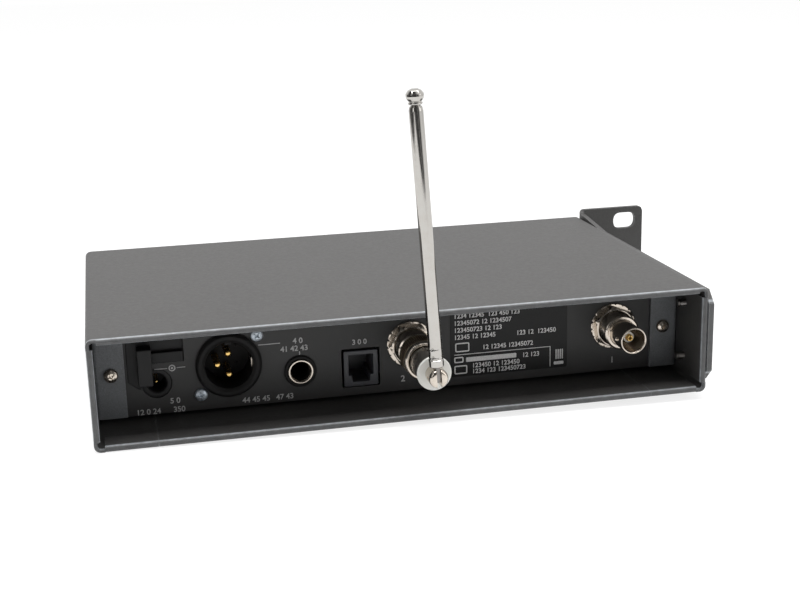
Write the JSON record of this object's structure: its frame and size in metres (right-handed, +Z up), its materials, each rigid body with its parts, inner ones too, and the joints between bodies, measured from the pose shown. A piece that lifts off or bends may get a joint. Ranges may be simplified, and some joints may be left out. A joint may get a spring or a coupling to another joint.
{
  "type": "wireless microphone receiver",
  "caption": "Half-rack wireless microphone receiver with rack ear, recessed rear sockets and a folding telescopic antenna.",
  "frame": {"origin": "middle of the case's underside, half way along the folded sleeve", "axes": "+X to the right as seen from the front, +Y towards the rear sockets, +Z up"},
  "size_m": [0.2413, 0.1568, 0.1163],
  "materials": {
    "case_paint": "fine textured dark grey powder paint",
    "panel_paint": "satin black paint",
    "label_film": "matt black film with plain bars",
    "black_plastic": "moulded matt black",
    "grey_plastic": "moulded matt dark grey",
    "nickel": "bright nickel plating",
    "chrome": "polished chrome plating",
    "zinc": "bright zinc plating",
    "gold": "gold plated contact",
    "ptfe": "white insulating plastic",
    "circuit_board": "green solder mask",
    "tinplate": "bright tinned steel",
    "capacitor_sleeve": "dark blue shrink sleeve",
    "heat_sink": "black anodised",
    "fascia_plastic": "satin dark grey moulding",
    "key_plastic": "satin light grey moulding",
    "window_acrylic": "clear acrylic",
    "lcd": "reflective liquid crystal panel"
  },
  "bodies": {
    "case": {"case_sleeve": "case_paint", "bottom_plate": "case_paint", "bottom_screws": "zinc", "left_panel_bracket": "case_paint", "right_panel_bracket": "case_paint", "panel_screws": "nickel", "rear_panel": "panel_paint", "type_label": "label_film", "cord_hook": "black_plastic", "power_inlet": "black_plastic", "power_inlet_pin": "gold", "xlr_housing": "black_plastic", "xlr_pins": "gold", "xlr_earth_tab": "zinc", "xlr_screws": "zinc", "jack_body": "black_plastic", "jack_ferrule": "nickel", "data_socket": "grey_plastic", "data_contacts": "gold", "rack_ear": "case_paint", "ear_screws": "zinc", "main_board": "circuit_board", "board_standoffs": "nickel", "board_screws": "zinc", "tuner_shield_1": "tinplate", "tuner_shield_2": "tinplate", "supply_capacitors": "capacitor_sleeve", "regulator_heat_sink": "heat_sink", "board_chips": "black_plastic", "front_board": "circuit_board", "board_header": "black_plastic", "display_module": "lcd", "key_switches": "black_plastic", "front_panel": "fascia_plastic", "display_window": "window_acrylic", "antenna_1_socket_shell": "nickel", "antenna_1_socket_insulator": "ptfe", "antenna_1_socket_contact": "gold", "antenna_1_socket_washer": "nickel", "antenna_1_socket_nut": "nickel", "antenna_2_socket_shell": "nickel", "antenna_2_socket_insulator": "ptfe", "antenna_2_socket_contact": "gold", "antenna_2_socket_washer": "nickel", "antenna_2_socket_nut": "nickel"},
    "antenna_plug": {"antenna_plug_body": "chrome", "antenna_plug_pin": "gold", "antenna_insulating_disc": "ptfe", "antenna_knuckle": "nickel", "hinge_pin": "nickel"},
    "bayonet_ring": {"bayonet_ring": "nickel"},
    "mast_outer": {"mast_foot": "chrome", "mast_outer_section": "chrome"},
    "mast_middle": {"mast_middle_section": "chrome"},
    "mast_inner": {"mast_inner_section": "chrome", "mast_tip_knob": "chrome"},
    "power_key": {"power_key": "key_plastic"},
    "set_key": {"set_key": "key_plastic"},
    "up_down_rocker": {"up_down_rocker": "key_plastic"}
  },
  "joints": [
    {"name": "antenna_swivel", "type": "hinge", "parent": "case", "child": "antenna_plug", "pos_m": [-0.0046, 0.0405, 0.0198], "axis": [0, 1, 0], "continuous": true},
    {"name": "bayonet_turn", "type": "hinge", "parent": "case", "child": "bayonet_ring", "pos_m": [-0.0046, 0.0405, 0.0198], "axis": [0, 1, 0], "range_deg": [0, 90]},
    {"name": "mast_tilt", "type": "hinge", "parent": "antenna_plug", "child": "mast_outer", "pos_m": [-0.0046, 0.0791, 0.0198], "axis": [-0.9981, 0, 0.061], "range_deg": [0, 180]},
    {"name": "mast_middle_slide", "type": "slide", "parent": "mast_outer", "child": "mast_middle", "axis": [0.061, 0, 0.9981], "range_m": [0, 0.07]},
    {"name": "mast_inner_slide", "type": "slide", "parent": "mast_middle", "child": "mast_inner", "axis": [0.061, 0, 0.9981], "range_m": [0, 0.068]},
    {"name": "power_key_press", "type": "slide", "parent": "case", "child": "power_key", "axis": [0, 1, 0], "range_m": [0, 0.0008], "stiffness_N_per_m": 500},
    {"name": "set_key_press", "type": "slide", "parent": "case", "child": "set_key", "axis": [0, 1, 0], "range_m": [0, 0.0008], "stiffness_N_per_m": 500},
    {"name": "rocker_tilt", "type": "hinge", "parent": "case", "child": "up_down_rocker", "pos_m": [0.084, -0.0686, 0.018], "axis": [1, 0, 0], "range_deg": [-4, 4], "stiffness_Nm_per_rad": 0.4}
  ]
}
